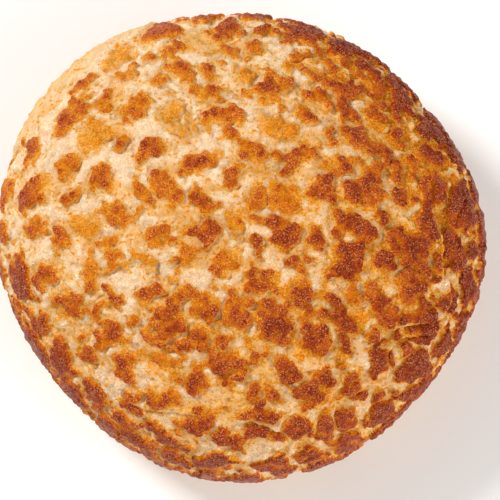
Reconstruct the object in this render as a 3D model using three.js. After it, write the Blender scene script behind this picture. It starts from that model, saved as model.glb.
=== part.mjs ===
// Tiger bread roll: a round bun whose crackle paste has split into raised, well baked islands.
// One solid in millimetres, +Z up. The origin is the middle of the flat base the roll baked on.

import * as THREE from 'three';
import { ConvexHull } from 'three/addons/math/ConvexHull.js';

const TURN = 2 * Math.PI;
const radians = THREE.MathUtils.degToRad;
const clamp = THREE.MathUtils.clamp;
const lerp = THREE.MathUtils.lerp;
const smoothstep = THREE.MathUtils.smoothstep;

// Dough: a slightly oval round that bulges out to its waist and is cut flat below
const DOUGH = {
  longWidth: 109.6,
  shortWidth: 104.2,
  longAngle: radians(-26),    // direction of the longest width, from +X
  height: 57.3,
  waist: 23,                  // height of the widest level
  crownPower: 2.25,           // fullness of the dome, 2 is an ellipse
  sidePower: 2.6,             // fullness of the side below the waist
  sideDepth: 32.5,            // depth of the lower bulge, of which the base keeps the upper part
  middleX: -0.74,             // the round's own centre, so that the crust's outline is centred
  middleY: 1.12,
};
// Slow rises and falls of the outline: how many around, how high, and where the first one stands
const OUTLINE_LUMPS = [
  { around: 3, size: 0.74, angle: radians(65) },
  { around: 4, size: 0.53, angle: radians(-9) },
  { around: 5, size: 0.31, angle: radians(-49) },
  { around: 6, size: 0.27, angle: radians(21) },
];
const DENTS = { size: 0.45, length: 26, waves: 24, spread: 0.3 };   // soft dents of the crown
const DENT_FADE = { from: 28, to: 44 };                             // heights between which they fade out

// Crackle paste: thick islands with cracks between them, dense and dark on one side, sparse on the other
const PASTE = {
  seed: 7,
  tries: 9000,                // places tried for an island
  paleAngle: radians(150),    // direction of the pale side, from +X
  palePitch: 8.6,             // mean spacing of islands on the pale side
  bakedPitch: 7.2,            // and on the well baked side
  pitchSwing: 0.18,           // random share by which the spacing varies
  closest: 0.82,              // share of the spacing that neighbours keep at least
  slimHalf: 0.24,             // half width of the slimmest islands, as a share of the spacing
  fullHalf: 0.4,              // and of the fullest
  maxStretch: 2.1,            // length of the longest islands over their width
  lowest: 9,                  // no island is centred lower than this
  tornBelow: 18,              // the side stretches as it swells: below this height the paste is torn wider
  tornPitch: 0.35,            // by this share of the spacing, at the hem
  tornCrack: 0.5,             // and this much of a crack's half width
  crack: 0.56,                // half width of a crack at the crown
  crackSwing: 0.3,            // wider by this on the pale side, narrower on the baked side
  reach: 0.35,                // how far an island spreads past its own oval
  softness: 0.5,              // rounding where an island's edge meets a crack
};
// Rim: below the crown the paste lies in wide, close plates, but for one cool stretch
const RIM = {
  top: 50,                    // heights between which the crown turns into the rim
  low: 36,
  pitch: 0.4,                 // share by which the islands are wider there
  reach: 2,                   // how much farther the baked ones spread
  gap: 0.3,                   // how much wider half a crack is there
  coolAngle: radians(135),    // middle of the cool stretch, from +X
  coolFrom: 0.3,              // cosines of the angle from there between which the paste turns pale
  coolTo: 0.95,
};
// Hem: where the paste ends, low on the side and high on the cool stretch
const HEM = {
  height: 11,
  rise: 29,                   // how much higher it ends on the cool stretch
  from: 0.82,                 // cosines of the angle from its middle between which it rises
  to: 0.96,
  slope: 0.4,                 // how fast the paste thins out there
  swell: 0.8,                 // the bare dough below it swells out by this
  swellDepth: 1.5,            // and is fully swollen this deep under the hem
};
const WARP = { size: 0.7, length: 8, waves: 20, spread: 0.35 };       // wander of the cracks
const LOBES = { size: 0.85, length: 7, waves: 50, spread: 0.25 };     // large lobes of the island edges
const SCALLOPS = { size: 0.55, length: 3.6, waves: 50, spread: 0.25 }; // small ones
const CRACK_SCALLOP = 0.4;    // size of the small ones along a crack

// Folds: broken steps that run round the baked rim, each with a raised lip and a sunken foot
const FOLDS = {
  steps: [{ height: 44.5, size: 1.8 }, { height: 39.5, size: 1.1 }, { height: 34, size: 0.5 }],
  strongAngle: radians(25),   // where the folds are deepest, from +X
  evenShare: 0.6,             // share of their depth that is the same all round
  strongShare: 0.4,           // share that is added there and taken away on the other side
  breakSwing: 0.5,            // share by which it varies along them
  steep: 1.3,                 // run over the surface for a drop of one, on the rim
  drop: 0.35,                 // half the run of a step
  lip: 0.45,                  // share of a step that rises above it
  lipRun: 3.5,                // and how far that reaches
  foot: 0.55,                 // share that sinks below it
  footRun: 4.5,
  gap: 0.45,                  // half width of the bare dough along a step of size one
  fainter: 3,                 // faint folds keep their paste
};
const FOLD_WANDER = { size: 2, length: 18, waves: 16, spread: 0.35 }; // rise and fall of the folds
const FOLD_BREAKS = { length: 22, waves: 16, spread: 0.35 };          // where they fade out

// Relief of the islands
const RELIEF = {
  thick: 0.8,                 // height of an island's edge over the dough
  thickSwing: 0.25,           // more on the baked side, less on the pale side
  crown: 0.3,                 // extra height in the middle of a wide island
  crownDepth: 1.6,            // distance from the edge at which that is reached
  pebble: 0.09,               // random unevenness of an island's top
  wall: 0.5,                  // horizontal run of an island's wall
};

// Spacing of the vertices
const MESH = {
  seed: 11,
  edgeTries: 120000,
  edgeBand: 1,                // only starts this near to an edge are moved onto it
  edgePitch: 1.76,            // along the islands' edges
  footPitch: 1.35,            // along the feet, which facing edges share in a narrow crack
  farthestFoot: 1.5,          // an edge without a foot within this distance is left out
  fillTries: 24000,
  fillPitch: 3.2,             // on the islands and the open dough
  fillClear: 0.6,             // share of that kept free beside the edges
  basePitch: 9,               // on the flat base
  baseRim: 100,               // vertices around the base's edge
  rimClear: 1.8,              // room kept free beside that edge
  steps: 3,                   // corrections that bring a vertex onto an island's edge
  probe: 0.05,                // step used to find the edge's direction
  flat: 1e-6,                 // anything lower than this is on the base
};

// Large islands, placed by hand: centre, length, width and turn from +X in degrees
const LARGE_ISLANDS = [
  { x: 38.8, y: -7.3, length: 15.2, width: 7.8, turn: -18 },
  { x: -14.8, y: -21.6, length: 14.3, width: 7.0, turn: 50 },
  { x: 17.1, y: -26.0, length: 10.6, width: 6.5, turn: -62 },
  { x: 7.6, y: -23.2, length: 11.5, width: 7.8, turn: -58 },
  { x: -3.7, y: 22.3, length: 10.2, width: 6.5, turn: 28 },
  { x: 7.0, y: 28.5, length: 10.2, width: 7.8, turn: 60 },
  { x: 23.6, y: -9.1, length: 10.6, width: 6.5, turn: 40 },
  { x: 28.2, y: 7.5, length: 11.1, width: 8.3, turn: -60 },
  { x: -2.3, y: -32.2, length: 12.9, width: 5.5, turn: -8 },
  { x: 4.2, y: -43.3, length: 9.7, width: 7.8, turn: 15 },
  { x: 19.7, y: -44.5, length: 9.2, width: 6.9, turn: 10 },
  { x: 43.4, y: 8.0, length: 7.9, width: 6.5, turn: -10 },
  { x: 22.7, y: 31.8, length: 15.2, width: 6.9, turn: -5 },
  { x: -22.6, y: 24.8, length: 12.0, width: 5.5, turn: 22 },
  { x: 31.4, y: -19.8, length: 10.6, width: 5.5, turn: -55 },
  { x: -27.7, y: -24.4, length: 10.2, width: 6.0, turn: 35 },
  { x: -32.5, y: -12.8, length: 12.0, width: 5.5, turn: 62 },
  { x: 9.0, y: -4.0, length: 8.8, width: 6.5, turn: -30 },
  { x: -15.2, y: 6.1, length: 10.2, width: 6.9, turn: -55 },
  { x: -21.0, y: -10.3, length: 9.7, width: 5.1, turn: -15 },
  { x: -25.4, y: -32.0, length: 7.6, width: 4.6, turn: 5 },
  { x: -31.2, y: -37.1, length: 7.0, width: 6.0, turn: -40 },
  { x: -17.3, y: -38.3, length: 8.5, width: 6.0, turn: -20 },
  { x: -32.8, y: -28.6, length: 6.2, width: 5.0, turn: -60 },
];

// Seeded draws, the same on every run
function seededDraw(seed) {
  let state = seed >>> 0;
  const next = () => {
    state = (state + 0x6d2b79f5) >>> 0;
    let mixed = Math.imul(state ^ (state >>> 15), state | 1);
    mixed ^= mixed + Math.imul(mixed ^ (mixed >>> 7), mixed | 61);
    return ((mixed ^ (mixed >>> 14)) >>> 0) / 4294967296;
  };
  return { next, between: (low, high) => low + (high - low) * next() };
}

// A direction drawn evenly over the sphere
function drawDirection(draw) {
  const up = draw.between(-1, 1);
  const angle = draw.between(0, TURN);
  const flat = Math.sqrt(1 - up * up);
  return new THREE.Vector3(flat * Math.cos(angle), flat * Math.sin(angle), up);
}

// An even, random ripple through space: many plane waves of about one length
function makeRipple(draw, { length, waves, spread }) {
  const parts = [];
  for (let i = 0; i < waves; i++) {
    const direction = drawDirection(draw);
    const number = TURN / (length * draw.between(1 - spread, 1 + spread));
    parts.push({ wave: direction.multiplyScalar(number), phase: draw.between(0, TURN) });
  }
  const size = Math.sqrt(2 / waves);
  return (point) => {
    let sum = 0;
    for (const { wave, phase } of parts) sum += Math.cos(wave.dot(point) + phase);
    return size * sum;
  };
}

// Half width of the dough at its waist, seen from above
function waistRadius(angle) {
  const mean = (DOUGH.longWidth + DOUGH.shortWidth) / 4;
  const oval = (DOUGH.longWidth - DOUGH.shortWidth) / 4;
  let radius = mean + oval * Math.cos(2 * (angle - DOUGH.longAngle));
  for (const lump of OUTLINE_LUMPS) radius += lump.size * Math.cos(lump.around * angle - lump.angle);
  return radius;
}

// Point of the smooth dough in a direction from the middle of its waist
function doughPoint(direction) {
  const radius = waistRadius(Math.atan2(direction.y, direction.x));
  const flat = Math.hypot(direction.x, direction.y);
  const above = direction.z >= 0;
  const depth = above ? DOUGH.height - DOUGH.waist : DOUGH.sideDepth;
  const power = above ? DOUGH.crownPower : DOUGH.sidePower;
  let reach = ((flat / radius) ** power + (Math.abs(direction.z) / depth) ** power) ** (-1 / power);
  if (!above) reach = Math.min(reach, DOUGH.waist / -direction.z);
  return direction.clone().multiplyScalar(reach).add(new THREE.Vector3(0, 0, DOUGH.waist));
}

function directionOf(point) {
  return new THREE.Vector3(point.x, point.y, point.z - DOUGH.waist).normalize();
}

function ontoDough(point) {
  return doughPoint(directionOf(point));
}

// Point of the dome over a place of the plan
function crownPoint(x, y) {
  const share = Math.hypot(x, y) / waistRadius(Math.atan2(y, x));
  const rise = Math.max(0, 1 - share ** DOUGH.crownPower) ** (1 / DOUGH.crownPower);
  return new THREE.Vector3(x, y, DOUGH.waist + (DOUGH.height - DOUGH.waist) * rise);
}

// Outward direction of the dough's side or crown
function doughNormal(point) {
  const radius = waistRadius(Math.atan2(point.y, point.x));
  const flat = Math.max(Math.hypot(point.x, point.y), 1e-9);
  const rise = point.z - DOUGH.waist;
  const depth = rise >= 0 ? DOUGH.height - DOUGH.waist : DOUGH.sideDepth;
  const power = rise >= 0 ? DOUGH.crownPower : DOUGH.sidePower;
  const out = (flat / radius) ** (power - 1) / radius;
  const up = Math.sign(rise) * (Math.abs(rise) / depth) ** (power - 1) / depth;
  return new THREE.Vector3(out * point.x / flat, out * point.y / flat, up).normalize();
}

// Two directions along the surface
function surfaceAxes(normal) {
  const guide = Math.abs(normal.x) < 0.8 ? new THREE.Vector3(1, 0, 0) : new THREE.Vector3(0, 1, 0);
  const second = normal.clone().cross(guide).normalize();
  const first = second.clone().cross(normal);
  return [first, second];
}

// From -1 on the pale side to +1 on the well baked side
function bakedSide(point) {
  const along = point.x * Math.cos(PASTE.paleAngle) + point.y * Math.sin(PASTE.paleAngle);
  return clamp(-2 * along / DOUGH.longWidth, -1, 1);
}

// From 0 on the crown to 1 at the lowest paste
function tornShare(point) {
  return clamp((PASTE.tornBelow - point.z) / (PASTE.tornBelow - PASTE.lowest), 0, 1);
}

// From 0 on the crown to 1 on the rim
function rimShare(point) {
  return 1 - smoothstep(point.z, RIM.low, RIM.top);
}

// Cosine of the angle around the roll from the middle of the cool stretch
function coolFacing(point) {
  return Math.cos(Math.atan2(point.y, point.x) - RIM.coolAngle);
}

// From 0 on the cool stretch of the rim to 1 on the rest of it
function rimBaked(point) {
  return 1 - smoothstep(coolFacing(point), RIM.coolFrom, RIM.coolTo);
}

// From -1 where the crust is pale to +1 where it is well baked
function heatAt(point) {
  return lerp(bakedSide(point), 2 * rimBaked(point) - 1, rimShare(point));
}

// Islands: an oval each, with its centre, long axis, half width and stretch
function placeIslands(draw) {
  const islands = [];
  for (const { x, y, length, width, turn } of LARGE_ISLANDS) {
    const centre = crownPoint(x, y);
    const axis = new THREE.Vector3(Math.cos(radians(turn)), Math.sin(radians(turn)), 0);
    axis.projectOnPlane(doughNormal(centre)).normalize();
    islands.push({ centre, axis, half: width / 2, stretch: length / width });
  }
  for (let i = 0; i < PASTE.tries; i++) {
    const centre = doughPoint(drawDirection(draw));
    const pick = draw.next();
    const turn = draw.between(0, Math.PI);
    const stretch = draw.between(1, PASTE.maxStretch);
    const vigour = draw.next();
    if (centre.z < PASTE.lowest) continue;
    const share = clamp(0.5 + 0.5 * bakedSide(centre), 0, 1);
    const torn = 1 + PASTE.tornPitch * tornShare(centre);
    const wider = 1 + RIM.pitch * rimShare(centre);
    const swing = lerp(1 - PASTE.pitchSwing, 1 + PASTE.pitchSwing, pick);
    const pitch = lerp(PASTE.palePitch, PASTE.bakedPitch, share) * torn * wider * swing;
    if (islands.some((other) => other.centre.distanceTo(centre) < PASTE.closest * pitch)) continue;
    const [first, second] = surfaceAxes(doughNormal(centre));
    const axis = first.multiplyScalar(Math.cos(turn)).addScaledVector(second, Math.sin(turn));
    islands.push({ centre, axis, half: pitch * lerp(PASTE.slimHalf, PASTE.fullHalf, vigour), stretch });
  }
  return islands;
}

const draw = seededDraw(PASTE.seed);
const islands = placeIslands(draw);
const warps = [0, 1, 2].map(() => makeRipple(draw, WARP));
const lobes = makeRipple(draw, LOBES);
const scallops = makeRipple(draw, SCALLOPS);
const dents = makeRipple(draw, DENTS);
const foldWander = makeRipple(draw, FOLD_WANDER);
const foldBreaks = makeRipple(draw, FOLD_BREAKS);

function softMin(...values) {
  const sum = values.reduce((total, value) => total + Math.exp(-value / PASTE.softness), 0);
  return -PASTE.softness * Math.log(sum);
}

// Depth inside the nearest island's oval, and inside its cell of the crack network
function islandDepths(point) {
  let first = -Infinity;
  let second = -Infinity;
  const apart = new THREE.Vector3();
  for (const { centre, axis, half, stretch } of islands) {
    apart.subVectors(point, centre);
    const along = apart.dot(axis);
    const square = apart.lengthSq() - (1 - 1 / stretch ** 2) * along ** 2;
    const depth = half - Math.sqrt(Math.max(square, 0));
    if (depth > first) {
      second = first;
      first = depth;
    } else if (depth > second) {
      second = depth;
    }
  }
  return { oval: first, cell: (first - second) / 2 };
}

// Depth inside the paste's hem, negative below it
function hemDepth(point) {
  const rise = HEM.rise * smoothstep(coolFacing(point), HEM.from, HEM.to);
  return HEM.slope * (point.z - HEM.height - rise);
}

// How deep the folds are here, from 0 to 1
function foldStrength(point) {
  const turn = Math.atan2(point.y, point.x) - FOLDS.strongAngle;
  const around = FOLDS.evenShare + FOLDS.strongShare * Math.cos(turn);
  return rimBaked(point) * clamp(around + FOLDS.breakSwing * foldBreaks(point), 0, 1);
}

// Distance below a fold's step, along the surface
function belowFold(point, height) {
  return FOLDS.steep * (height + FOLD_WANDER.size * foldWander(point) - point.z);
}

// Rise and fall of the dough beside the folds
function foldLift(point) {
  const strength = foldStrength(point);
  let lift = 0;
  for (const { height, size } of FOLDS.steps) {
    const below = belowFold(point, height);
    const past = smoothstep(below, -FOLDS.drop, FOLDS.drop);
    const lip = FOLDS.lip * Math.exp(Math.min(below, 0) / FOLDS.lipRun);
    const foot = FOLDS.foot * Math.exp(-Math.max(below, 0) / FOLDS.footRun);
    lift += size * strength * lerp(lip, -foot, past);
  }
  return lift;
}

// Distance from the bare dough along the nearest fold
function foldClear(point) {
  const strength = foldStrength(point);
  const faint = FOLDS.fainter * (1 - clamp(FOLDS.fainter * strength, 0, 1));
  const clears = FOLDS.steps.map(({ height, size }) => (
    Math.abs(belowFold(point, height)) - FOLDS.gap * strength * size + faint
  ));
  return Math.min(...clears);
}

// Distance inside an island's edge, negative outside it
function pasteDepth(point) {
  const wander = new THREE.Vector3(...warps.map((ripple) => WARP.size * ripple(point)));
  const { oval, cell } = islandDepths(wander.add(point));
  const heat = heatAt(point);
  const rim = rimShare(point);
  const crack = PASTE.crack - PASTE.crackSwing * heat + PASTE.tornCrack * tornShare(point) + RIM.gap * rim;
  const reach = PASTE.reach + RIM.reach * rim * Math.max(heat, 0);
  const lobe = LOBES.size * lobes(point);
  const scallop = scallops(point);
  return softMin(
    oval + reach + lobe + SCALLOPS.size * scallop,
    cell - crack + CRACK_SCALLOP * scallop,
    foldClear(point),
    hemDepth(point) + lobe,
  );
}

// Rise and fall of the dough under the paste
function doughLift(point) {
  const dent = DENTS.size * dents(point) * smoothstep(point.z, DENT_FADE.from, DENT_FADE.to);
  const swell = HEM.swell * smoothstep(-hemDepth(point), 0, HEM.swellDepth);
  return dent + foldLift(point) + swell;
}

// Height of the crust over the smooth dough, for a depth inside an island
function crustRise(point, depth, unevenness) {
  const edge = RELIEF.thick + RELIEF.thickSwing * bakedSide(point);
  const inside = clamp((depth + RELIEF.wall / 2) / RELIEF.wall, 0, 1);
  const crown = RELIEF.crown * clamp(depth / RELIEF.crownDepth, 0, 1);
  return inside * (edge + crown + unevenness * RELIEF.pebble);
}

// Moves a point over the dough until its depth is the wanted one
function ontoLevel(start, level) {
  let point = start;
  for (let i = 0; i < MESH.steps; i++) {
    const depth = pasteDepth(point);
    const slope = new THREE.Vector3();
    for (const axis of surfaceAxes(doughNormal(point))) {
      const beside = pasteDepth(point.clone().addScaledVector(axis, MESH.probe));
      slope.addScaledVector(axis, (beside - depth) / MESH.probe);
    }
    const step = clamp((level - depth) / Math.max(slope.lengthSq(), 0.1), -1, 1);
    point = ontoDough(point.clone().addScaledVector(slope, step));
  }
  return point;
}

const isClear = (point, others, pitch) => others.every((other) => other.distanceTo(point) >= pitch);

// Base radius: where the lower bulge meets the flat base
function baseRadius(angle) {
  const share = 1 - (DOUGH.waist / DOUGH.sideDepth) ** DOUGH.sidePower;
  return waistRadius(angle) * share ** (1 / DOUGH.sidePower);
}

// Vertices: the base's edge, then rows along the islands' edges and feet, then the faces between
function spreadVertices() {
  const chance = seededDraw(MESH.seed);
  const rim = [];
  const tops = [];
  const feet = [];
  const fill = [];
  for (let i = 0; i < MESH.baseRim; i++) {
    const angle = TURN * i / MESH.baseRim;
    const radius = baseRadius(angle);
    rim.push(new THREE.Vector3(radius * Math.cos(angle), radius * Math.sin(angle), 0));
  }
  for (let i = 0; i < MESH.edgeTries; i++) {
    const start = doughPoint(drawDirection(chance));
    if (start.z < PASTE.lowest || Math.abs(pasteDepth(start)) > MESH.edgeBand) continue;
    const top = ontoLevel(start, RELIEF.wall / 2);
    const foot = ontoLevel(top, -RELIEF.wall / 2);
    const parted = top.distanceTo(foot);
    if (parted < RELIEF.wall / 2 || parted > MESH.farthestFoot) continue;
    if (isClear(top, tops, MESH.edgePitch)) tops.push(top);
    if (isClear(foot, feet, MESH.footPitch) && isClear(foot, tops, RELIEF.wall / 2)) feet.push(foot);
  }
  for (let i = 0; i < MESH.fillTries; i++) {
    const point = doughPoint(drawDirection(chance));
    const onBase = point.z < MESH.flat;
    if (!isClear(point, rim, onBase ? MESH.basePitch / 2 : MESH.rimClear)) continue;
    const pitch = onBase ? MESH.basePitch : MESH.fillPitch;
    if (!isClear(point, fill, pitch)) continue;
    const beside = MESH.fillClear * pitch;
    if (isClear(point, tops, beside) && isClear(point, feet, beside)) fill.push(point);
  }
  return { rim, tops, feet, fill };
}

// Lifts each vertex from the smooth dough to the crust, and leaves the base flat
function crustVertices() {
  const chance = seededDraw(MESH.seed + 1);
  const { rim, tops, feet, fill } = spreadVertices();
  const lift = (point, depth) => {
    if (point.z < MESH.flat) return point.clone();
    const fade = clamp(point.z / PASTE.lowest, 0, 1);
    const rise = crustRise(point, depth, chance.between(-1, 1)) + doughLift(point);
    return point.clone().addScaledVector(doughNormal(point), fade * rise);
  };
  const seats = [...rim, ...tops, ...feet, ...fill];
  const lifted = [
    ...rim.map((point) => lift(point, -1)),
    ...tops.map((point) => lift(point, RELIEF.wall / 2)),
    ...feet.map((point) => lift(point, -RELIEF.wall / 2)),
    ...fill.map((point) => lift(point, pasteDepth(point))),
  ];
  return { seats, lifted };
}

// Closed skin: neighbours are found on a sphere around the waist's middle, then take their real places
function rollGeometry() {
  const { seats, lifted } = crustVertices();
  const spots = seats.map((seat) => directionOf(seat));
  const numberOf = new Map(spots.map((spot, i) => [spot, i]));
  const corners = [];
  for (const face of new ConvexHull().setFromPoints(spots).faces) {
    const { edge } = face;
    for (const side of [edge, edge.next, edge.prev]) corners.push(numberOf.get(side.head().point));
  }
  const middle = new THREE.Vector3(DOUGH.middleX, DOUGH.middleY, 0);
  const places = lifted.flatMap((point) => point.add(middle).toArray());
  const geometry = new THREE.BufferGeometry();
  geometry.setAttribute('position', new THREE.Float32BufferAttribute(places, 3));
  geometry.setIndex(corners);
  geometry.computeVertexNormals();
  return geometry;
}

const crust = new THREE.MeshStandardMaterial({ color: 0xd08d47, roughness: 0.75, metalness: 0 });
const roll = new THREE.Mesh(rollGeometry(), crust);
roll.name = 'roll';

const tigerRoll = new THREE.Group();
tigerRoll.add(roll);

export default tigerRoll;
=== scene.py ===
from math import atan, cos, degrees, pi, radians, sin, sqrt

import bpy
import numpy as np
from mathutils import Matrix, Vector


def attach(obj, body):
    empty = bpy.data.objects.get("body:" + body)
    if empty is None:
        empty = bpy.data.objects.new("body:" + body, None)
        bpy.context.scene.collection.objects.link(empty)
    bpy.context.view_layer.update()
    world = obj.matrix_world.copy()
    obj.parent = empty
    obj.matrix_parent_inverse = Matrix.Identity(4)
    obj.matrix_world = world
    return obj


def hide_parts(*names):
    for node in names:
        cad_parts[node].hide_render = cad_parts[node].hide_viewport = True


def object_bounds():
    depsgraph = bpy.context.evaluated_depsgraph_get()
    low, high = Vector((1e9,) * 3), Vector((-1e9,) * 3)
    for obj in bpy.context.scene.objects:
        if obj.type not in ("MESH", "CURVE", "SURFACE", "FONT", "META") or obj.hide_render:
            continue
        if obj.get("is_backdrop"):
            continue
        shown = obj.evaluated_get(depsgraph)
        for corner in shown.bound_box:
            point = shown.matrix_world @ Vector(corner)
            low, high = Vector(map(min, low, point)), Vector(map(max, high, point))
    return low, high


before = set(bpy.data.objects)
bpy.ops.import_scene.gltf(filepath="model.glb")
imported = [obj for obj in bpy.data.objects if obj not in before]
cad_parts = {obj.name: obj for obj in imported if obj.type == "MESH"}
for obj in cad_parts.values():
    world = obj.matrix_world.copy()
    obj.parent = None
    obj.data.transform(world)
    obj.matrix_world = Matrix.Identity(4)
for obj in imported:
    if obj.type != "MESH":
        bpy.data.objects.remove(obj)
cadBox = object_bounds()
mm = 0.001
tiny = 1e-9              # stands for zero in divisions and tests
print("frame loaded, CAD box", [[round(c / mm, 1) for c in corner] for corner in cadBox])


# seeded draws and ripples: the same rule as the CAD part, so the islands fall in the same places
wordSize = 2 ** 32       # the draws work on 32-bit whole numbers


def seededDraw(seed):              # endless draws from 0 to 1
    state = seed
    while True:
        state = (state + 0x6D2B79F5) % wordSize
        mixed = ((state ^ (state >> 15)) * (state | 1)) % wordSize
        mixed ^= (mixed + (mixed ^ (mixed >> 7)) * (mixed | 61)) % wordSize
        yield (mixed ^ (mixed >> 14)) / wordSize


def between(draw, low, high):
    return low + (high - low) * next(draw)


def drawDirection(draw):
    up = between(draw, -1, 1)
    angle = between(draw, 0, 2 * pi)
    flat = sqrt(1 - up * up)
    return np.array([flat * cos(angle), flat * sin(angle), up])


def makeRipple(draw, length, waves, spread):       # a sum of plane waves, of size 1 on the whole
    fronts = []
    phases = []
    for _ in range(waves):
        direction = drawDirection(draw)
        fronts.append(direction * 2 * pi / (length * between(draw, 1 - spread, 1 + spread)))
        phases.append(between(draw, 0, 2 * pi))

    def ripple(points):
        total = np.zeros(len(points))
        for front, phase in zip(fronts, phases):
            total += np.cos(points @ front + phase)
        return total * sqrt(2 / waves)
    return ripple


def smooth(low, high, value):      # 0 at low, 1 at high, eased at both ends
    share = np.clip((value - low) / (high - low), 0, 1)
    return share * share * (3 - 2 * share)


def facing(points, angle):         # 1 on the side at this angle from +X, -1 on the far side
    return np.cos(np.arctan2(points[:, 1], points[:, 0]) - radians(angle))


# dough: a slightly oval round, bulged out to its waist and cut flat below; mm and degrees
dough = {
    "longWidth": 109.6, "shortWidth": 104.2, "longAngle": -26,
    "height": 57.3, "waist": 23,
    "crownPower": 2.25, "sidePower": 2.6, "sideDepth": 32.5,    # fullness above and below the waist
    "middle": (-0.74, 1.12),                                    # centres the outline on the origin
    "lumps": [(3, 0.74, 65), (4, 0.53, -9), (5, 0.31, -49), (6, 0.27, 21)],    # around, size, angle
    "dents": {"length": 26, "waves": 24, "spread": 0.3},
    "dentSize": 0.45, "dentFrom": 28, "dentTo": 44,             # they fade out from the crown to the waist
    "gridCuts": 470,          # quads across the whole skin before it is thinned
    "fineShare": 0.9,         # share of them spent on the crown
    "fineDown": 31,           # the crown ends at this height
    "profileSteps": 2000,     # points down the side that the skin is spread by
    "baseRings": (0.9, 0.6, 0.25, 0.02),                        # shares of the base's width
    "triangles": 188000,      # left after thinning
}


def waistRadius(angle):
    mean = (dough["longWidth"] + dough["shortWidth"]) / 4
    oval = (dough["longWidth"] - dough["shortWidth"]) / 4
    radius = mean + oval * np.cos(2 * (angle - radians(dough["longAngle"])))
    for around, size, turn in dough["lumps"]:
        radius = radius + size * np.cos(around * angle - radians(turn))
    return radius


def doughPoint(directions):        # where rays from the middle of the waist leave the dough, n x 3
    radius = waistRadius(np.arctan2(directions[:, 1], directions[:, 0]))
    flat = np.hypot(directions[:, 0], directions[:, 1])
    up = directions[:, 2]
    above = up >= 0
    depth = np.where(above, dough["height"] - dough["waist"], dough["sideDepth"])
    power = np.where(above, dough["crownPower"], dough["sidePower"])
    reach = ((flat / radius) ** power + (np.abs(up) / depth) ** power) ** (-1 / power)
    reach = np.where(above, reach, np.minimum(reach, dough["waist"] / np.maximum(-up, tiny)))
    return directions * reach[:, None] + np.array([0, 0, dough["waist"]])


def doughNormal(points):
    radius = waistRadius(np.arctan2(points[:, 1], points[:, 0]))
    flat = np.maximum(np.hypot(points[:, 0], points[:, 1]), tiny)
    rise = points[:, 2] - dough["waist"]
    depth = np.where(rise >= 0, dough["height"] - dough["waist"], dough["sideDepth"])
    power = np.where(rise >= 0, dough["crownPower"], dough["sidePower"])
    out = (flat / radius) ** (power - 1) / radius
    up = np.sign(rise) * (np.abs(rise) / depth) ** (power - 1) / depth
    normal = np.stack([out * points[:, 0] / flat, out * points[:, 1] / flat, up], 1)
    return normal / np.linalg.norm(normal, axis=1, keepdims=True)


def crownPoint(x, y):              # the crown over a place in the plan
    share = np.hypot(x, y) / waistRadius(np.arctan2(y, x))
    rise = max(0, 1 - share ** dough["crownPower"]) ** (1 / dough["crownPower"])
    return np.array([x, y, dough["waist"] + (dough["height"] - dough["waist"]) * rise])


# crackle paste: thick islands with cracks between them, and a thin golden film round them; mm and degrees
paste = {
    "seed": 7, "tries": 9000, "toneSeed": 21,
    "paleAngle": 150,                                   # direction of the pale side
    "palePitch": 8.6, "bakedPitch": 7.2, "pitchSwing": 0.18, "closest": 0.82,    # spacing of the islands
    "slimHalf": 0.24, "fullHalf": 0.4, "maxStretch": 2.1,                        # half widths at a pitch of 1
    "islandReach": 20, "unreached": -99.0,              # an island counts this far; depth past them all
    "lowest": 9, "tornBelow": 18, "tornPitch": 0.35, "tornCrack": 0.5,           # torn low on the side
    "crack": 0.56, "crackSwing": 0.3,                   # half widths; narrower on the baked side
    "reach": 0.35,                                      # islands spread this far past their ovals
    "softness": 0.5, "softLimit": 20,                   # rounding where an island's edge meets a crack
    "rimTop": 50, "rimLow": 36, "rimPitch": 0.4, "rimReach": 2.0, "rimGap": 0.3,     # fewer and wider there
    "coolAngle": 135, "coolFrom": 0.3, "coolTo": 0.95,  # the rim is baked but for here
    "hem": 11, "hemRise": 29, "hemFrom": 0.82, "hemTo": 0.96, "hemSlope": 0.4,   # it rises on the cool side
    "hemSwell": 0.8, "swellDepth": 1.5,                 # the bare dough under the hem swells out
    "warp": {"length": 8, "waves": 20, "spread": 0.35}, "warpSize": 0.7,
    "lobes": {"length": 7, "waves": 50, "spread": 0.25}, "lobeSize": 0.85,
    "scallops": {"length": 3.6, "waves": 50, "spread": 0.25}, "scallopSize": 0.55, "crackScallop": 0.4,
    "crumbs": {"length": 1.8, "waves": 50, "spread": 0.3}, "crumbSize": 0.14, "crackCrumb": 0.12,
    "patches": {"length": 15, "waves": 16, "spread": 0.35},
    "filmReach": 1.8, "filmPatch": 1.0, "filmToast": 0.35, "filmLobe": 0.6, "filmCrumb": 0.35,
    "filmCrack": 0.73, "filmRimCrack": 0.3, "filmCrackCrumb": 0.24, "filmHem": 1,       # the film's edge
    "strandTurn": 4.0, "strandRun": 0.3,                # strands of dough: how fine round an island, and away
}
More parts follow.
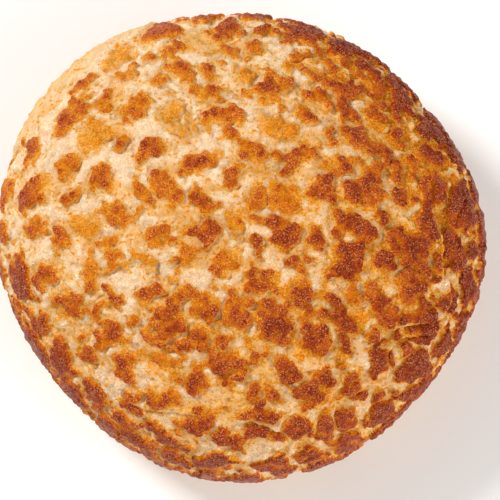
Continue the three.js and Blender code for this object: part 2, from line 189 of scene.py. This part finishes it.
# islands placed on the crown: x, y, length, width, turn from +X
largeIslands = [
    (38.8, -7.3, 15.2, 7.8, -18), (-14.8, -21.6, 14.3, 7.0, 50), (17.1, -26.0, 10.6, 6.5, -62),
    (7.6, -23.2, 11.5, 7.8, -58), (-3.7, 22.3, 10.2, 6.5, 28), (7.0, 28.5, 10.2, 7.8, 60),
    (23.6, -9.1, 10.6, 6.5, 40), (28.2, 7.5, 11.1, 8.3, -60), (-2.3, -32.2, 12.9, 5.5, -8),
    (4.2, -43.3, 9.7, 7.8, 15), (19.7, -44.5, 9.2, 6.9, 10), (43.4, 8.0, 7.9, 6.5, -10),
    (22.7, 31.8, 15.2, 6.9, -5), (-22.6, 24.8, 12.0, 5.5, 22), (31.4, -19.8, 10.6, 5.5, -55),
    (-27.7, -24.4, 10.2, 6.0, 35), (-32.5, -12.8, 12.0, 5.5, 62), (9.0, -4.0, 8.8, 6.5, -30),
    (-15.2, 6.1, 10.2, 6.9, -55), (-21.0, -10.3, 9.7, 5.1, -15), (-25.4, -32.0, 7.6, 4.6, 5),
    (-31.2, -37.1, 7.0, 6.0, -40), (-17.3, -38.3, 8.5, 6.0, -20), (-32.8, -28.6, 6.2, 5.0, -60),
]


def bakedSide(points):             # -1 on the pale side, +1 on the well baked one
    pale = radians(paste["paleAngle"])
    along = points[:, 0] * cos(pale) + points[:, 1] * sin(pale)
    return np.clip(-2 * along / dough["longWidth"], -1, 1)


def tornShare(points):             # 0 on the crown, 1 at the lowest paste
    return np.clip((paste["tornBelow"] - points[:, 2]) / (paste["tornBelow"] - paste["lowest"]), 0, 1)


def rimShare(height):              # 0 on the crown, 1 on the rim and below
    return smooth(paste["rimTop"], paste["rimLow"], height)


def bakedRim(points):              # 1 round the baked rim, 0 on its cool side
    return 1 - smooth(paste["coolFrom"], paste["coolTo"], facing(points, paste["coolAngle"]))


def aboveHem(points):              # height over the lower edge of the paste, eased by its slope
    rise = paste["hemRise"] * smooth(paste["hemFrom"], paste["hemTo"], facing(points, paste["coolAngle"]))
    return paste["hemSlope"] * (points[:, 2] - paste["hem"] - rise)


def placeIslands(draw):
    centres = []
    axes = []
    halves = []
    stretches = []
    for x, y, length, width, turn in largeIslands:
        centre = crownPoint(x, y)
        normal = doughNormal(centre[None])[0]
        axis = np.array([cos(radians(turn)), sin(radians(turn)), 0])
        axis -= normal * (axis @ normal)
        centres.append(centre)
        axes.append(axis / np.linalg.norm(axis))
        halves.append(width / 2)
        stretches.append(length / width)
    for _ in range(paste["tries"]):
        centre = doughPoint(drawDirection(draw)[None])[0]
        pick = next(draw)
        turn = between(draw, 0, pi)
        stretch = between(draw, 1, paste["maxStretch"])
        vigour = next(draw)
        if centre[2] < paste["lowest"]:
            continue
        share = 0.5 + 0.5 * bakedSide(centre[None])[0]
        pitch = paste["palePitch"] + (paste["bakedPitch"] - paste["palePitch"]) * share
        pitch *= 1 + paste["tornPitch"] * tornShare(centre[None])[0]
        pitch *= 1 + paste["rimPitch"] * rimShare(centre[2])
        pitch *= 1 + paste["pitchSwing"] * (2 * pick - 1)
        if np.min(np.linalg.norm(np.array(centres) - centre, axis=1)) < paste["closest"] * pitch:
            continue
        normal = doughNormal(centre[None])[0]
        guide = np.array([1.0, 0, 0]) if abs(normal[0]) < 0.8 else np.array([0, 1.0, 0])    # off the normal
        second = np.cross(normal, guide)
        second /= np.linalg.norm(second)
        first = np.cross(second, normal)
        centres.append(centre)
        axes.append(first * cos(turn) + second * sin(turn))
        halves.append(pitch * (paste["slimHalf"] + (paste["fullHalf"] - paste["slimHalf"]) * vigour))
        stretches.append(stretch)
    print("paste:", len(centres), "islands")
    return centres, axes, halves, stretches


def islandDepths(points, islands):     # inside the nearest oval and inside its cell; its tone and strands
    toneDraw = seededDraw(paste["toneSeed"])
    nearest = np.full(len(points), paste["unreached"])
    second = np.full(len(points), paste["unreached"])
    tone = np.zeros(len(points))
    strand = np.zeros((len(points), 3))    # turns round the island: noise on it makes strands away from it
    for centre, axis, half, stretch in zip(*islands):
        apart = points - centre
        square = np.einsum("ij,ij->i", apart, apart)
        near = np.flatnonzero(square < paste["islandReach"] ** 2)
        along = apart[near] @ axis
        squash = 1 - 1 / stretch ** 2
        depth = half - np.sqrt(np.maximum(square[near] - squash * along ** 2, 0))
        best = nearest[near]
        deeper = depth > best
        won = near[deeper]
        tone[won] = next(toneDraw)
        away = apart[won] - squash * along[deeper][:, None] * axis
        away /= np.maximum(np.linalg.norm(away, axis=1, keepdims=True), tiny)
        strand[won] = centre + paste["strandTurn"] * away + paste["strandRun"] * apart[won]
        nearest[near] = np.maximum(best, depth)
        second[near] = np.maximum(second[near], np.minimum(best, depth))
    return nearest, (nearest - second) / 2, tone, strand


def softMin(*values):
    soft = paste["softness"]
    limit = paste["softLimit"]             # keeps exp in range
    return -soft * np.log(sum(np.exp(-np.clip(value, -limit, limit) / soft) for value in values))


# folds: three broken steps that run round the baked rim; mm and degrees
folds = {
    "heights": (44.5, 39.5, 34), "sizes": (1.8, 1.1, 0.5),
    "wander": {"length": 18, "waves": 16, "spread": 0.35}, "wanderSize": 2.0,        # they rise and fall
    "breaks": {"length": 22, "waves": 16, "spread": 0.35}, "breakSwing": 0.5,        # they fade out
    "even": 0.6, "lean": 0.4, "strongAngle": 25,     # depth all round, and more of it at this angle
    "steep": 1.3,                                    # run over the surface for a drop of 1
    "lip": 0.45, "lipRun": 3.5, "foot": 0.55, "footRun": 4.5, "drop": 0.35,
    "gap": 0.45, "fainter": 3, "clearMost": 9.0,     # bare dough along a step; faint steps keep their paste
}


def foldSteps(points, wander, breaks, baked):        # lift of the dough, and distance clear of the steps
    around = folds["even"] + folds["lean"] * facing(points, folds["strongAngle"])
    strength = baked * np.clip(around + folds["breakSwing"] * breaks, 0, 1)
    faint = folds["fainter"] * (1 - np.clip(folds["fainter"] * strength, 0, 1))
    lift = np.zeros(len(points))
    clear = np.full(len(points), folds["clearMost"])
    for height, size in zip(folds["heights"], folds["sizes"]):
        below = folds["steep"] * (height + folds["wanderSize"] * wander - points[:, 2])
        past = smooth(-folds["drop"], folds["drop"], below)
        lip = folds["lip"] * np.exp(np.minimum(below, 0) / folds["lipRun"])
        foot = folds["foot"] * np.exp(-np.maximum(below, 0) / folds["footRun"])
        lift += size * strength * ((1 - past) * lip - past * foot)
        clear = np.minimum(clear, np.abs(below) - folds["gap"] * strength * size + faint)
    return lift, clear


# toasting: pale on one side of the crown, even round the baked rim, charred at one angle; mm and degrees
toasting = {
    "paleAngle": 140, "paleFrom": -0.5, "paleTo": 0.4,          # shares of the radius between which it pales
    "rimMean": 0.93, "rimSwing": 0.07,
    "charAngle": 40, "charTop": 54, "charLow": 41, "charMean": 0.15, "charSwing": 0.85,
}


def toastedShare(points):          # -1 where the crust is palest, +1 where it is browned most
    paler = facing(points, toasting["paleAngle"]) * np.hypot(points[:, 0], points[:, 1])
    crown = 1 - 2 * smooth(toasting["paleFrom"], toasting["paleTo"], 2 * paler / dough["longWidth"])
    around = toasting["rimMean"] + toasting["rimSwing"] * facing(points, toasting["charAngle"])
    rim = rimShare(points[:, 2])
    return crown * (1 - rim) + (2 * bakedRim(points) - 1) * around * rim


def charredShare(points):          # 0 to 1 towards the darkest part of the rim
    around = toasting["charMean"] + toasting["charSwing"] * facing(points, toasting["charAngle"])
    low = smooth(toasting["charTop"], toasting["charLow"], points[:, 2])
    return low * bakedRim(points) * np.clip(around, 0, 1)


# all that the crust's shape and colours read: depths inside the paste, lift of the dough, shares of baking
def crustFields(points):
    draw = seededDraw(paste["seed"])
    islands = placeIslands(draw)
    warps = [makeRipple(draw, **paste["warp"]) for _ in range(3)]
    lobes = makeRipple(draw, **paste["lobes"])(points)
    scallops = makeRipple(draw, **paste["scallops"])(points)
    dents = makeRipple(draw, **dough["dents"])(points)
    wander = makeRipple(draw, **folds["wander"])(points)
    breaks = makeRipple(draw, **folds["breaks"])(points)
    crumbs = makeRipple(draw, **paste["crumbs"])(points)
    patches = makeRipple(draw, **paste["patches"])(points)
    shift = np.stack([warp(points) for warp in warps], 1) * paste["warpSize"]
    oval, cell, tone, strand = islandDepths(points + shift, islands)
    side = bakedSide(points)
    rim = rimShare(points[:, 2])
    baked = bakedRim(points)
    heat = side * (1 - rim) + (2 * baked - 1) * rim
    toast = toastedShare(points)
    hem = aboveHem(points)
    lift, clear = foldSteps(points, wander, breaks, baked)
    crack = paste["crack"] - paste["crackSwing"] * heat + paste["tornCrack"] * tornShare(points)
    crack += paste["rimGap"] * rim
    reach = paste["reach"] + paste["rimReach"] * rim * np.clip(heat, 0, 1)
    lobe = paste["lobeSize"] * lobes
    island = softMin(
        oval + reach + lobe + paste["scallopSize"] * scallops + paste["crumbSize"] * crumbs,
        cell - crack + paste["crackScallop"] * scallops + paste["crackCrumb"] * crumbs,
        clear, hem + lobe)
    film = softMin(
        oval + paste["filmReach"] + paste["filmPatch"] * patches + paste["filmToast"] * toast
        + paste["filmLobe"] * lobes + paste["filmCrumb"] * crumbs,
        cell - (paste["filmCrack"] + paste["filmRimCrack"] * rim) * crack
        + paste["crackScallop"] * scallops + paste["filmCrackCrumb"] * crumbs,
        clear, hem + paste["filmHem"] + lobe)
    lift += dough["dentSize"] * smooth(dough["dentFrom"], dough["dentTo"], points[:, 2]) * dents
    lift += paste["hemSwell"] * smooth(0, -paste["swellDepth"], hem)
    return {"island": island, "film": film, "side": side, "toast": toast, "char": charredShare(points),
            "lift": lift, "tone": tone, "hem": hem, "strand": strand}


def meshPoints(mesh, unit):
    places = np.empty(len(mesh.vertices) * 3)
    mesh.vertices.foreach_get("co", places)
    return places.reshape(-1, 3) / unit


def setPoints(mesh, points):
    mesh.vertices.foreach_set("co", (points * mm).ravel())
    mesh.update()


def laidOverDough(u, v):           # a square from -1 to 1 is rounded to a disc and laid over the dome
    x = u * np.sqrt(1 - v * v / 2)
    y = v * np.sqrt(1 - u * u / 2)
    tilts = np.linspace(pi / 2, -pi / 2, dough["profileSteps"])
    profile = doughPoint(np.array([[cos(tilt), 0, sin(tilt)] for tilt in tilts]))
    base = np.argmax(profile[:, 2] < tiny)
    steps = np.linalg.norm(np.diff(profile[:base], axis=0), axis=1)
    run = np.concatenate([[0], np.cumsum(steps)])           # over the dough, from the crown down
    fineRun = np.interp(-dough["fineDown"], -profile[:base, 2], run)
    out = np.hypot(x, y)
    along = np.interp(out, [0, dough["fineShare"], 1], [0, fineRun, run[-1]])
    tilt = np.interp(along, run, tilts[:base])
    turn = np.arctan2(y, x)
    directions = np.stack([np.cos(tilt) * np.cos(turn), np.cos(tilt) * np.sin(turn), np.sin(tilt)], 1)
    points = doughPoint(directions)
    points[np.isclose(out, 1), 2] = 0                       # the disc's edge lies on the base exactly
    return points


def makeSkin():
    bpy.ops.object.select_all(action="DESELECT")
    cuts = dough["gridCuts"]
    bpy.ops.mesh.primitive_grid_add(x_subdivisions=cuts, y_subdivisions=cuts, size=2)
    piece = bpy.context.object
    piece.name = "roll_crust"
    flat = meshPoints(piece.data, 1)
    setPoints(piece.data, laidOverDough(flat[:, 0], flat[:, 1]))
    bpy.ops.object.mode_set(mode="EDIT")            # the base: rings drawn inwards from the edge
    bpy.ops.mesh.select_all(action="SELECT")
    bpy.ops.mesh.region_to_loop()
    size = 1
    for ring in dough["baseRings"]:
        bpy.ops.mesh.extrude_edges_move()
        bpy.ops.transform.resize(value=(ring / size, ring / size, 1), center_override=(0, 0, 0))
        size = ring
    bpy.ops.mesh.merge(type="CENTER")
    bpy.ops.mesh.select_all(action="SELECT")
    bpy.ops.mesh.normals_make_consistent(inside=False)
    bpy.ops.object.mode_set(mode="OBJECT")
    print("skin:", len(piece.data.vertices), "vertices")
    return piece


# heights of the crust over the dough, mm
relief = {
    "edge": 0.8, "edgeSwing": 0.15, "wall": 0.55,    # islands: height at the edge, more on the baked side
    "edgeLow": 0.15, "lowFrom": 45, "lowTo": 25,     # and more again low down
    "crown": 0.35, "crownDepth": 2.0,                # they are domed
    "film": 0.16, "filmWall": 1.0,
    "bulge": 0.6, "bulgeDepth": 1.6,                 # bare dough swells up through the gaps
    "lumps": {"strength": -1.7, "kind": "VORONOI", "size": 1.9},       # the islands are clusters of lumps
    "pebbles": {"strength": 0.6, "kind": "CLOUDS", "size": 0.8, "detail": 1},
    "rimEven": 0.6,                                  # both are lower on the rim
    "weave": {"strength": 2.1, "kind": "CLOUDS", "size": 2.8, "detail": 3},
    "weightSteps": 200,                              # a vertex weight is one of these
    "basePlane": 1e-4, "outside": -9.0,              # lower is the base; depth of paste there
}
crustAttributes = ("island", "film", "toast", "char", "tone", "hem", "lump")


def displace(piece, name, weights, strength, kind=None, size=None, detail=None):
    group = piece.vertex_groups.new(name=name)
    steps = relief["weightSteps"]
    levels = np.round(np.clip(weights, 0, 1) * steps).astype(int)
    for level in np.unique(levels):
        if level:
            group.add(np.flatnonzero(levels == level).tolist(), level / steps, "REPLACE")
    change = piece.modifiers.new(name, "DISPLACE")
    change.vertex_group = name
    change.strength = strength * mm
    change.mid_level = 0
    if kind:
        texture = bpy.data.textures.new(name, kind)
        texture.noise_scale = size * mm
        if detail:
            texture.noise_depth = detail
        change.texture = texture
        change.texture_coords = "LOCAL"
        change.mid_level = 0.5
    bpy.ops.object.modifier_apply(modifier=name)
    piece.vertex_groups.remove(piece.vertex_groups[name])


def raiseCrust(piece):
    mesh = piece.data
    points = meshPoints(mesh, mm)
    fields = crustFields(points)
    onBase = points[:, 2] < relief["basePlane"]
    fade = np.where(onBase, 0, np.clip(points[:, 2] / paste["lowest"], 0, 1))
    lift = fade * (fields["lift"] + relief["bulge"] * smooth(0, -relief["bulgeDepth"], fields["film"]))
    moved = points + doughNormal(points) * lift[:, None] + np.array([*dough["middle"], 0])
    setPoints(mesh, moved)
    for name in ("island", "film", "hem"):
        fields[name] = np.where(onBase, relief["outside"], fields[name])
    inside = smooth(-relief["wall"] / 2, relief["wall"] / 2, fields["island"]) * fade
    crown = relief["crown"] * np.sin(pi / 2 * np.clip(fields["island"] / relief["crownDepth"], 0, 1))
    low = relief["edgeLow"] * smooth(relief["lowFrom"], relief["lowTo"], points[:, 2])
    rise = inside * (relief["edge"] + relief["edgeSwing"] * fields["side"] + low + crown)
    thin = smooth(-relief["filmWall"] / 2, relief["filmWall"] / 2, fields["film"]) * fade
    lumpy = inside * (1 - relief["rimEven"] * rimShare(points[:, 2]))
    most = rise.max()
    displace(piece, "islands", rise / most, most)
    displace(piece, "film", thin, relief["film"])
    displace(piece, "lumps", lumpy, **relief["lumps"])
    displace(piece, "pebbles", lumpy, **relief["pebbles"])
    displace(piece, "weave", fade * (1 - inside), **relief["weave"])
    stands = np.einsum("ij,ij->i", meshPoints(mesh, mm) - moved, doughNormal(points))
    fields["lump"] = inside * (stands - rise)        # mm over or under the island's mean height
    for name in crustAttributes:
        kept = mesh.attributes.new(name, "FLOAT", "POINT")
        kept.data.foreach_set("value", fields[name].astype(np.float32))
    kept = mesh.attributes.new("strand", "FLOAT_VECTOR", "POINT")
    kept.data.foreach_set("vector", fields["strand"].astype(np.float32).ravel())
    print("crust raised: highest island", round(most, 2), "mm; cover", round(float(inside.mean()), 2))


def thinSkin(piece):
    count = sum(len(face.vertices) - 2 for face in piece.data.polygons)
    thinner = piece.modifiers.new("thinner", "DECIMATE")
    thinner.ratio = dough["triangles"] / count
    bpy.ops.object.modifier_apply(modifier="thinner")
    bpy.ops.object.shade_smooth()
    print("thinned from", count, "to", len(piece.data.polygons), "triangles")


# crust finish: colours as sRGB 0 to 255, sizes in mm
finish = {
    # the flour white is partly a painted highlight and the tan partly painted shade, both following the
    # dough's strands
    "cream": (243, 211, 171), "flourAndHighlight": (253, 237, 213), "tanAndShade": (218, 167, 113),      # dough of the crown
    "side": (241, 194, 132), "sideGold": (222, 158, 88), "base": (176, 116, 60),     # dough lower down
    "glint": (232, 160, 98),
    "baking": [                       # how the paste browns, from a thin wash to the thickest island
        (0.05, (236, 205, 164)), (0.2, (232, 182, 118)), (0.33, (229, 160, 62)), (0.44, (221, 141, 18)),
        (0.56, (209, 119, 7)), (0.66, (196, 100, 11)), (0.77, (177, 78, 14)), (0.9, (150, 53, 15)),
        (1.0, (121, 37, 12)),
    ],
    "bakingShows": (0.02, 0.2),       # from bare dough to the browned colour
    "noises": {                       # size, detail
        "broad": (6.0, 2), "medium": (2.2, 2), "pebble": (0.9, 2), "spots": (0.8, 0), "grain": (0.42, 1),
        "fine": (0.3, 0),
    },
    "strands": (0.4, 2, 0.6),         # size, detail, roughness: torn dough that leads away from the islands
    "streaks": (0.9, 3), "streakStretch": (0.4, 0.4, 1.0),      # they run round the bare side
    "beadSize": 0.55, "beadSoftness": 0.5,
    # masks: the range that becomes 0 to 1, and how much of each signal is added up for it
    "masks": {
        "rim": (paste["rimTop"], paste["rimLow"], dict(high=1)),
        "filmed": (1.6, 3.5, dict(film=1, toast=0.25, char=1.2, medium=2, pebble=1.2, strands=1.8, rim=-0.3)),
        "island": (0.1, 0.36, dict(island=1, pebble=0.25, grain=0.15)),
        "thick": (0.08, 0.3, dict(tone=1, toast=0.08, medium=0.3, char=0.6)),
        "spotted": (0.57, 0.68, dict(spots=1)),
        "freckled": (2.2, 4.2, dict(film=1, broad=9, islandCover=-9)),
        "darkness": (0.95, 2.25, dict(start=0.05, medium=1.2, tone=0.4, toast=0.15, broad=0.5, island=0.22,
                                      lump=0.8, rim=0.35, pebble=0.25)),
        "wash": (2.8, 6.2, dict(film=1, broad=6, medium=3, grain=2, toast=0.2)),
        # painted shade: tan where the strands dip, over real tanning in broad patches and on the toasted side
        "tannedAndShaded": (-1.2, 0.2, dict(broad=0.8, toast=0.25, strands=-2.2, medium=0.8, fine=-0.6)),
        # painted highlight: flour white where the strands rise, standing also for real flour dust
        "flouryAndHighlit": (0.57, 0.77, dict(strands=0.8, fine=0.3)),
        "sided": (5.0, 2.0, dict(hem=1, broad=6, medium=2, grain=1.5)),
        "lower": (4.0, -1.0, dict(hem=1, broad=6)),
        "golden": (2.5, 3.8, dict(lower=1, broad=2.2, streaks=1.6, medium=0.8)),
        "glintFine": (0.56, 0.7, dict(fine=1)),
        "glintPatch": (0.36, 0.56, dict(medium=1)),
        "based": (7.0, 1.5, dict(high=1, medium=4)),
    },
    # sums that stay as they are
    "sums": {
        "speckle": dict(start=0.05, grain=1.9),
        "filmDepth": dict(start=0.42, char=0.08, toast=0.04),
        "islandDepth": dict(start=0.2, darkness=0.36, beads=0.16, fine=-0.28),
        "glintShare": dict(start=0.1, islandCover=0.42),
        "grainShade": dict(start=0.83, fine=0.34),
        "bump": dict(beaded=0.35, grain=0.22, filmGrain=0.25, bareStrands=0.24, sideStreaks=0.3),    # mm
    },
    "islandEven": 0.8,                # how far the islands lose the film's speckle
    "washDepth": 0.24, "freckleDepth": 0.34, "freckleOver": 0.06,
    "flourAndHighlightShare": 0.8, "sideShare": 0.8,
    "doughRough": 0.85, "filmRough": 0.6, "pasteRough": 0.34, "gloss": 0.09,
    "glow": 0.5, "glowDepth": 1.5, "glowReach": (1.0, 0.45, 0.2),        # light that soaks through the crumb
}


def linear(colour):
    parts = [c / 255 for c in colour]
    return (*[p / 12.92 if p <= 0.04045 else ((p + 0.055) / 1.055) ** 2.4 for p in parts], 1)


def wire(tree, kind, sockets=None, **settings):
    made = tree.nodes.new("ShaderNode" + kind)
    for name, value in settings.items():
        setattr(made, name, value)
    for key, value in (sockets or {}).items():
        if isinstance(value, bpy.types.NodeSocket):
            tree.links.new(value, made.inputs[key])
        else:
            made.inputs[key].default_value = value
    return made


def calc(tree, operation, first, second):
    return wire(tree, "Math", {0: first, 1: second}, operation=operation).outputs[0]


def times(tree, first, second):
    return calc(tree, "MULTIPLY", first, second)


def ramp(tree, value, low, high):
    sockets = {0: value, 1: low, 2: high}
    return wire(tree, "MapRange", sockets, interpolation_type="SMOOTHSTEP").outputs[0]


def noise(tree, vector, size, detail, rough=0.5):
    sockets = {"Vector": vector, "Scale": 1 / size, "Detail": detail, "Roughness": rough}
    return wire(tree, "TexNoise", sockets).outputs[0]


def blend(tree, share, first, second, kind="MIX"):
    sockets = {0: share, 6: first, 7: second}
    return wire(tree, "Mix", sockets, data_type="RGBA", blend_type=kind).outputs[2]


def blendValue(tree, share, first, second):
    return wire(tree, "Mix", {0: share, 2: first, 3: second}, data_type="FLOAT").outputs[0]


def addUp(tree, signals, start=0.0, **parts):      # start plus so much of each named signal
    for name, size in parts.items():
        sockets = {0: signals[name], 1: size, 2: start}
        start = wire(tree, "Math", sockets, operation="MULTIPLY_ADD").outputs[0]
    return start


def sumOf(tree, signals, name):
    return addUp(tree, signals, **finish["sums"][name])


def mask(tree, signals, name):
    low, high, parts = finish["masks"][name]
    return ramp(tree, addUp(tree, signals, **parts), low, high)


# signals by name: the mesh's own fields, noises, strands, streaks and beads
def crustSignals(tree):
    coordinates = wire(tree, "TexCoord").outputs["Object"]
    inMm = wire(tree, "VectorMath", {0: coordinates, "Scale": 1 / mm}, operation="SCALE").outputs[0]
    signals = {"high": wire(tree, "SeparateXYZ", {0: inMm}).outputs[2]}
    for name in crustAttributes:
        signals[name] = wire(tree, "Attribute", attribute_name=name).outputs["Fac"]
    for name, sizes in finish["noises"].items():
        signals[name] = noise(tree, inMm, *sizes)
    turning = wire(tree, "Attribute", attribute_name="strand").outputs["Vector"]
    signals["strands"] = noise(tree, turning, *finish["strands"])
    level = wire(tree, "VectorMath", {0: inMm, 1: finish["streakStretch"]}, operation="MULTIPLY").outputs[0]
    signals["streaks"] = noise(tree, level, *finish["streaks"])
    sockets = {"Vector": inMm, "Scale": 1 / finish["beadSize"], "Smoothness": finish["beadSoftness"]}
    signals["beads"] = wire(tree, "TexVoronoi", sockets, feature="SMOOTH_F1").outputs["Distance"]
    return signals


# how far the film, the islands and the freckles cover, and where the side is bare
def coverCrust(tree, signals):
    signals["rim"] = mask(tree, signals, "rim")
    signals["filmed"] = mask(tree, signals, "filmed")
    signals["islandCover"] = times(tree, mask(tree, signals, "island"), mask(tree, signals, "thick"))
    signals["freckles"] = times(tree, mask(tree, signals, "spotted"), mask(tree, signals, "freckled"))
    signals["darkness"] = mask(tree, signals, "darkness")
    signals["lower"] = mask(tree, signals, "lower")


def bakingShare(tree, signals):        # how far the paste is browned, 0 to 1
    speckle = sumOf(tree, signals, "speckle")
    signals["evened"] = times(tree, signals["islandCover"], calc(tree, "SUBTRACT", 1.0, speckle))
    speckle = addUp(tree, signals, speckle, evened=finish["islandEven"])
    film = times(tree, signals["filmed"], sumOf(tree, signals, "filmDepth"))
    wash = times(tree, mask(tree, signals, "wash"), finish["washDepth"])
    baking = calc(tree, "MAXIMUM", times(tree, film, speckle), wash)
    baking = calc(tree, "MAXIMUM", baking, times(tree, signals["freckles"], finish["freckleDepth"]))
    baking = addUp(tree, signals, baking, freckles=finish["freckleOver"])
    islands = times(tree, signals["islandCover"], sumOf(tree, signals, "islandDepth"))
    return calc(tree, "ADD", baking, islands)


def bakingColour(tree, baking):
    browning = wire(tree, "ValToRGB", {0: baking})
    stops = browning.color_ramp.elements
    for place, shade in finish["baking"][len(stops):]:
        stops.new(place)
    for stop, (place, shade) in zip(stops, finish["baking"]):
        stop.position = place
        stop.color = linear(shade)
    return browning.outputs[0]


def doughColour(tree, signals):        # cream with flour white on the strands' crests and tan in their troughs, partly real flour and tanning and partly painted highlight and painted shade; more tan when baked, golden down the side
    cream, flourAndHighlight, tanAndShade, side, gold = (
        linear(finish[name]) for name in ("cream", "flourAndHighlight", "tanAndShade", "side", "sideGold"))
    ground = blend(tree, mask(tree, signals, "tannedAndShaded"), cream, tanAndShade)
    flouryAndHighlit = times(tree, mask(tree, signals, "flouryAndHighlit"), finish["flourAndHighlightShare"])
    ground = blend(tree, flouryAndHighlit, ground, flourAndHighlight)
    sided = times(tree, mask(tree, signals, "sided"), finish["sideShare"])
    ground = blend(tree, sided, ground, side)
    golden = times(tree, mask(tree, signals, "golden"), signals["lower"])
    return blend(tree, golden, ground, gold)


def crustColour(tree, signals):
    baking = bakingShare(tree, signals)
    shows = ramp(tree, baking, *finish["bakingShows"])
    final = blend(tree, shows, doughColour(tree, signals), bakingColour(tree, baking))
    glints = times(tree, mask(tree, signals, "glintFine"), mask(tree, signals, "glintPatch"))
    glints = times(tree, glints, sumOf(tree, signals, "glintShare"))
    final = blend(tree, glints, final, linear(finish["glint"]))
    final = blend(tree, mask(tree, signals, "based"), final, linear(finish["base"]))
    return blend(tree, 1.0, final, sumOf(tree, signals, "grainShade"), "MULTIPLY")


# fine bumps in mm: beads on the islands, grains everywhere, strands and streaks on the dough
def crustBumps(tree, signals):
    raised = calc(tree, "SUBTRACT", 1.0, signals["beads"])
    bare = calc(tree, "SUBTRACT", 1.0, signals["islandCover"])
    signals["beaded"] = times(tree, raised, signals["islandCover"])
    signals["filmGrain"] = times(tree, signals["pebble"], signals["filmed"])
    signals["bareStrands"] = times(tree, signals["strands"], bare)
    signals["sideStreaks"] = times(tree, signals["streaks"], signals["lower"])
    sockets = {"Height": sumOf(tree, signals, "bump"), "Distance": mm, "Strength": 1.0}
    return wire(tree, "Bump", sockets).outputs[0]


def crustMaterial():
    material = bpy.data.materials.new("baked_crust")
    material.use_nodes = True
    tree = material.node_tree
    shader = tree.nodes["Principled BSDF"]
    signals = crustSignals(tree)
    coverCrust(tree, signals)
    roughness = blendValue(tree, signals["filmed"], finish["doughRough"], finish["filmRough"])
    roughness = blendValue(tree, signals["islandCover"], roughness, finish["pasteRough"])
    tree.links.new(crustColour(tree, signals), shader.inputs["Base Color"])
    tree.links.new(roughness, shader.inputs["Roughness"])
    tree.links.new(crustBumps(tree, signals), shader.inputs["Normal"])
    shader.inputs["Specular IOR Level"].default_value = finish["gloss"]
    shader.inputs["Subsurface Weight"].default_value = finish["glow"]
    shader.inputs["Subsurface Radius"].default_value = finish["glowReach"]
    shader.inputs["Subsurface Scale"].default_value = finish["glowDepth"] * mm
    print("finish:", len(tree.nodes), "nodes")
    return material


roll = makeSkin()
raiseCrust(roll)
thinSkin(roll)
roll.data.materials.append(crustMaterial())
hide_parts("roll")
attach(roll, "root")


# floor and soft studio light; metres and watts
studio = {
    "floorSize": 4, "floorDrop": 0.0002, "floor": (248, 247, 245), "floorRough": 0.9,
    "sky": 0.46,
    "key": {"place": (-0.56, 0.36, 0.79), "size": 0.24, "power": 7.2},
    "fill": {"place": (0.62, -0.55, 0.5), "size": 0.9, "power": 6.5},
}


def makeStudio():
    bpy.ops.object.select_all(action="DESELECT")
    bpy.ops.mesh.primitive_plane_add(size=studio["floorSize"], location=(0, 0, -studio["floorDrop"]))
    floor = bpy.context.object
    floor.name = "floor"
    plain = bpy.data.materials.new("pale_floor")
    plain.use_nodes = True
    shader = plain.node_tree.nodes["Principled BSDF"]
    shader.inputs["Base Color"].default_value = linear(studio["floor"])
    shader.inputs["Roughness"].default_value = studio["floorRough"]
    floor.data.materials.append(plain)
    floor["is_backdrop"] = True
    for name in ("key", "fill"):
        values = studio[name]
        bpy.ops.object.light_add(type="AREA", location=values["place"])
        lamp = bpy.context.object
        lamp.name = name + "_light"
        lamp.data.size = values["size"]
        lamp.data.energy = values["power"]
        lamp.rotation_euler = (-Vector(values["place"])).to_track_quat("-Z", "Y").to_euler()
    world = bpy.data.worlds.new("studio")
    world.use_nodes = True
    sky = world.node_tree.nodes["Background"]
    sky.inputs["Color"].default_value = (1, 1, 1, 1)
    sky.inputs["Strength"].default_value = studio["sky"]
    bpy.context.scene.world = world
    bpy.context.scene.view_settings.view_transform = "Standard"
    print("studio set")


# camera: nearly straight down, as the photo
view = {
    "elevation": 80, "away": 0.62,        # degrees, metres
    "width": 114.6,                       # mm across the picture at the roll's waist
    "aim": (1.86, -1.53, 28),             # mm, puts the roll left of the picture's middle
    "sensor": 36,
}


def makeCamera():
    back = Vector((0, -cos(radians(view["elevation"])), sin(radians(view["elevation"]))))
    bpy.ops.object.camera_add(location=Vector(view["aim"]) * mm + back * view["away"])
    camera = bpy.context.object
    camera.rotation_euler = (-back).to_track_quat("-Z", "Y").to_euler()
    camera.data.sensor_width = view["sensor"]
    camera.data.lens = view["sensor"] * view["away"] / (view["width"] * mm)
    bpy.context.scene.camera = camera
    print("camera set, field", round(degrees(2 * atan(view["width"] * mm / 2 / view["away"])), 1), "degrees")


makeStudio()
makeCamera()
boxes = {"cad": cadBox, "visual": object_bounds()}
{name: [list(corner) for corner in box] for name, box in boxes.items()}
